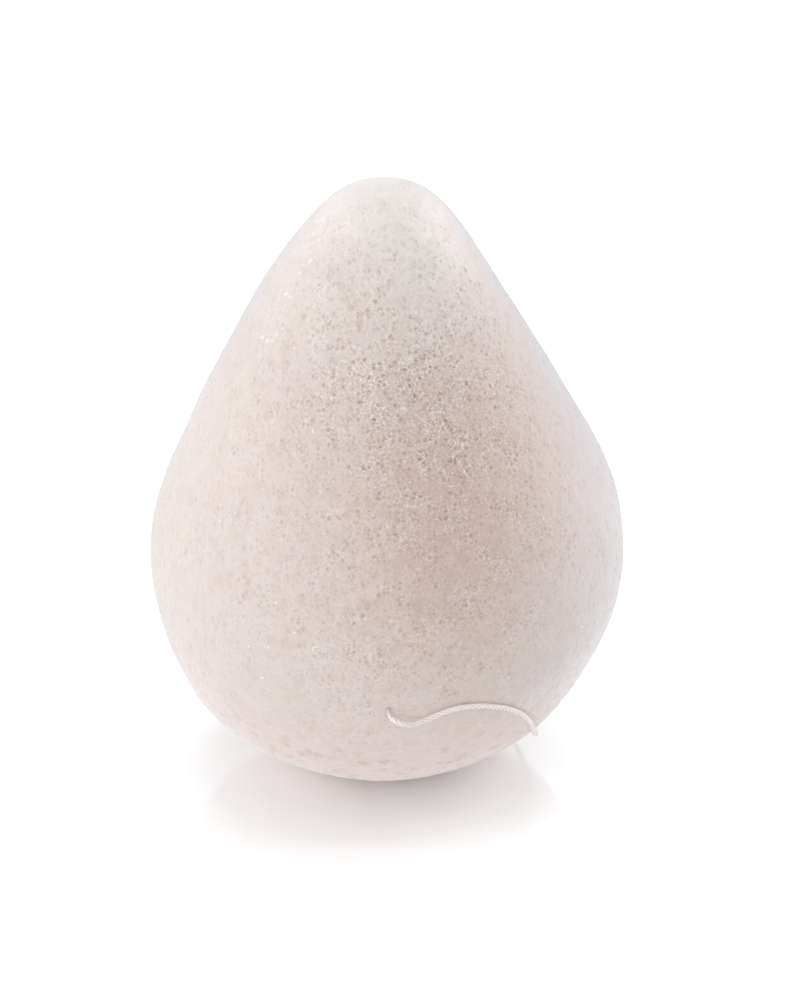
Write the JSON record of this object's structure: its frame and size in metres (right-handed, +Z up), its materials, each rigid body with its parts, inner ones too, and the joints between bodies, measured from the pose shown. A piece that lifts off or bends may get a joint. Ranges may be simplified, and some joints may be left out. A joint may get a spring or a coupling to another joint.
{
  "type": "konjac sponge",
  "caption": "Drop-shaped facial cleansing sponge of fine foam, standing on its wide end, with a thin twisted cord threaded through it and tied into a hanging loop.",
  "frame": {"origin": "centre of the flat base that the sponge stands on", "axes": "+Z up from the base to the tip, -Y towards the side where the cord shows, +X to the right seen from there"},
  "size_m": [0.0628, 0.0897, 0.0825],
  "materials": {
    "foam": "matte",
    "cord": "satin"
  },
  "bodies": {
    "sponge": {"sponge_body": "foam"},
    "loop": {"threaded_cord": "cord", "front_strand": "cord", "back_strand": "cord", "loop_knot": "cord", "left_tail": "cord", "right_tail": "cord"}
  },
  "joints": [
    {"name": "loop_swing", "type": "hinge", "parent": "sponge", "child": "loop", "pos_m": [0.0004, 0, 0.0216], "axis": [0, 1, 0], "range_deg": [0, 90]}
  ]
}
